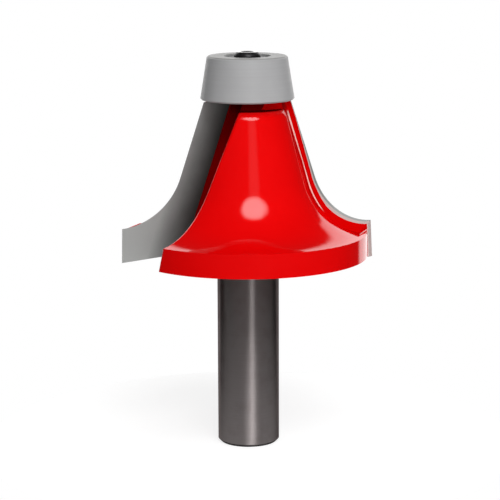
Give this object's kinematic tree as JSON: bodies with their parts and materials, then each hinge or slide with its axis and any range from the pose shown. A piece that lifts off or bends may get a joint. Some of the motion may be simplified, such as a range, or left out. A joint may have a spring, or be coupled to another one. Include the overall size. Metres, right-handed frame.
{
  "type": "router bit",
  "caption": "Router bit for easing the floor of a bowl into its wall: two brazed cutters on a bell-shaped body, a straight shank, and a tapered guide sleeve on a ball bearing.",
  "frame": {"origin": "centre of the shank's end face", "axes": "+Z along the shank towards the guide bearing; +X through the right-hand cutting corner"},
  "size_m": [0.0518, 0.049, 0.0812],
  "materials": {
    "red_coated_steel": "glossy baked coating on the body, bare ground steel on the shank",
    "carbide": "ground grey tungsten carbide",
    "sleeve_plastic": "turned pale grey acetal",
    "bearing_steel": "ground bearing steel",
    "cage_steel": "pressed steel strip",
    "shield_steel": "pressed steel",
    "ball_steel": "polished chrome steel",
    "black_steel": "black oxide"
  },
  "bodies": {
    "cutter": {"cutter_body": "red_coated_steel", "carbide_tip_left": "carbide", "carbide_tip_right": "carbide", "bearing_inner_ring": "bearing_steel", "spacer_washer": "shield_steel", "dust_washer": "black_steel", "retaining_screw": "black_steel"},
    "guide": {"guide_sleeve": "sleeve_plastic", "bearing_outer_ring": "bearing_steel", "lower_shield": "shield_steel", "upper_shield": "shield_steel"},
    "cage": {"cage_upper_half": "cage_steel", "cage_lower_half": "cage_steel", "bearing_ball_1": "ball_steel", "bearing_ball_2": "ball_steel", "bearing_ball_3": "ball_steel", "bearing_ball_4": "ball_steel", "bearing_ball_5": "ball_steel", "bearing_ball_6": "ball_steel", "bearing_ball_7": "ball_steel"}
  },
  "joints": [
    {"name": "guide_spin", "type": "hinge", "parent": "cutter", "child": "guide", "pos_m": [0, 0, 0.07717], "axis": [0, 0, 1], "continuous": true},
    {"name": "cage_spin", "type": "hinge", "parent": "cutter", "child": "cage", "pos_m": [0, 0, 0.07717], "axis": [0, 0, 1], "continuous": true}
  ],
  "couplings": [
    {"joint": "cage_spin", "follows": "guide_spin", "ratio": 0.6364}
  ]
}
